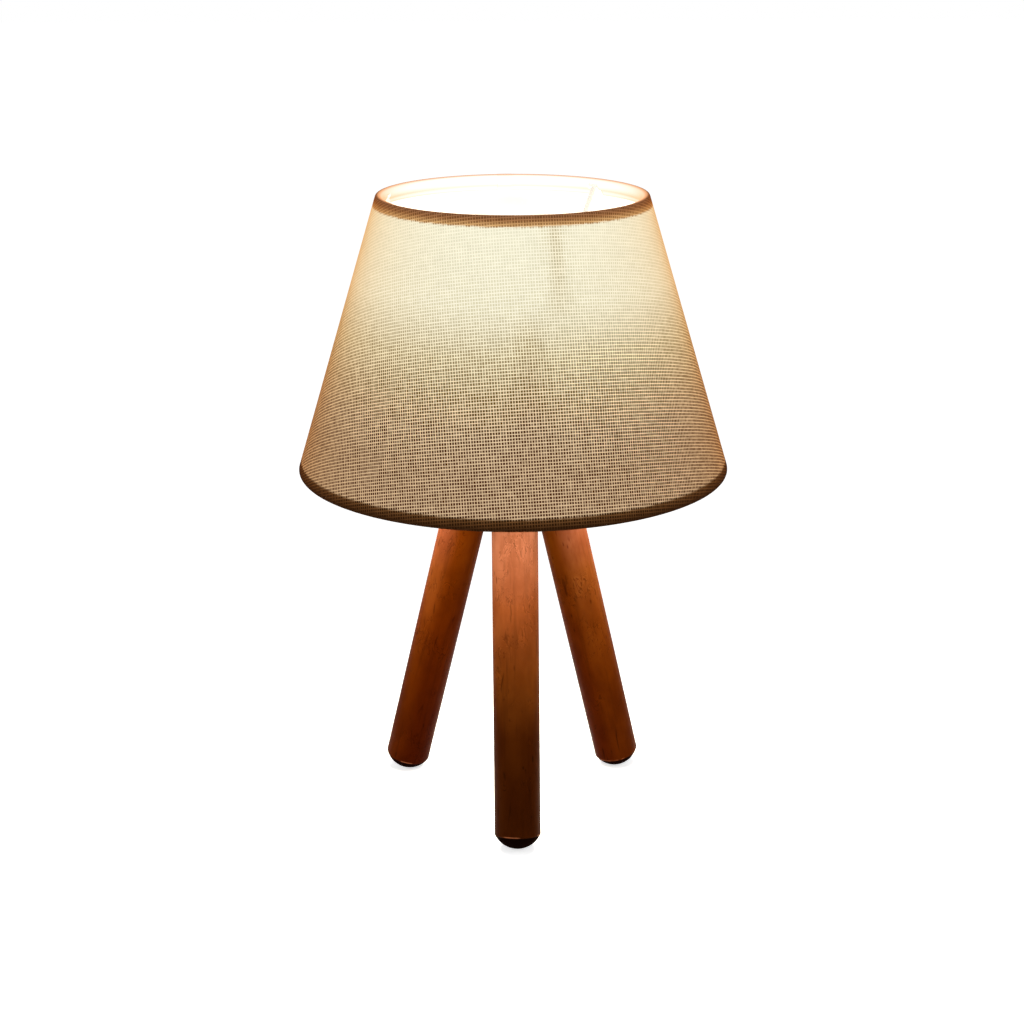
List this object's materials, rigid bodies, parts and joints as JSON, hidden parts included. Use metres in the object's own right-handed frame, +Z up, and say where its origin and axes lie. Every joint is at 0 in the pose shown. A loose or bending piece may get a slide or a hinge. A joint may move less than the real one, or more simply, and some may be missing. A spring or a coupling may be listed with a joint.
{
  "type": "tripod table lamp",
  "caption": "Table lamp on splayed round wooden legs, with a tapered open-weave cloth shade, a threaded lampholder and a globe lamp inside.",
  "frame": {"origin": "on the table under the lamp's axis, at the level of the three feet", "axes": "+Z up along the axis of the shade and lampholder, one leg points towards -Y, the front of the picture"},
  "size_m": [0.2194, 0.2192, 0.3237],
  "materials": {
    "leg_wood": "dark red-brown stained and varnished dowel, satin",
    "hub_wood": "dark red-brown stained and varnished, turned",
    "zinc_steel": "zinc plated",
    "brass": "plain brass",
    "holder_plastic": "black moulded thermoplastic",
    "ceramic": "unglazed",
    "nickel": "nickel plated",
    "black_glass": "glossy",
    "lamp_plastic": "white moulded, fine satin",
    "circuit_board": "solder mask",
    "board_aluminium": "white coated",
    "light_chips": "yellow phosphor",
    "opal_globe": "opal, lit warm white",
    "shade_cloth": "open plain weave of natural jute and linen threads, lit from inside",
    "shade_lining": "translucent white sheet",
    "shade_wire": "white coated wire"
  },
  "bodies": {
    "base": {"leg_front": "leg_wood", "leg_rear_right": "leg_wood", "leg_rear_left": "leg_wood", "hub": "hub_wood", "leg_screws": "zinc_steel", "flange": "zinc_steel", "flange_screws": "zinc_steel", "nipple": "brass", "holder_cap": "holder_plastic", "cap_lock_screw": "zinc_steel", "holder_insert": "ceramic", "terminal_blocks": "brass", "terminal_screws": "zinc_steel", "centre_contact": "brass", "side_contact": "brass", "screw_shell": "brass", "holder_sleeve": "holder_plastic", "lower_shade_ring": "holder_plastic"},
    "clamp_ring": {"upper_shade_ring": "holder_plastic"},
    "lamp": {"lamp_tip": "nickel", "lamp_insulator": "black_glass", "lamp_cap": "nickel", "lamp_housing": "lamp_plastic", "lamp_driver": "circuit_board", "lamp_led_board": "board_aluminium", "lamp_leds": "light_chips", "lamp_globe": "opal_globe"},
    "shade": {"shade_cloth": "shade_cloth", "shade_lining": "shade_lining", "shade_top_ring": "shade_wire", "shade_bottom_ring": "shade_wire", "shade_arms": "shade_wire", "shade_fitter": "shade_wire"}
  },
  "joints": [
    {"name": "shade_turn", "type": "hinge", "parent": "base", "child": "shade", "pos_m": [0, 0, 0.254], "axis": [0, 0, 1], "continuous": true},
    {"name": "clamp_ring_lift", "type": "slide", "parent": "base", "child": "clamp_ring", "axis": [0, 0, 1], "range_m": [0, 0.018]},
    {"name": "lamp_lift", "type": "slide", "parent": "base", "child": "lamp", "axis": [0, 0, 1], "range_m": [0, 0.085]}
  ]
}
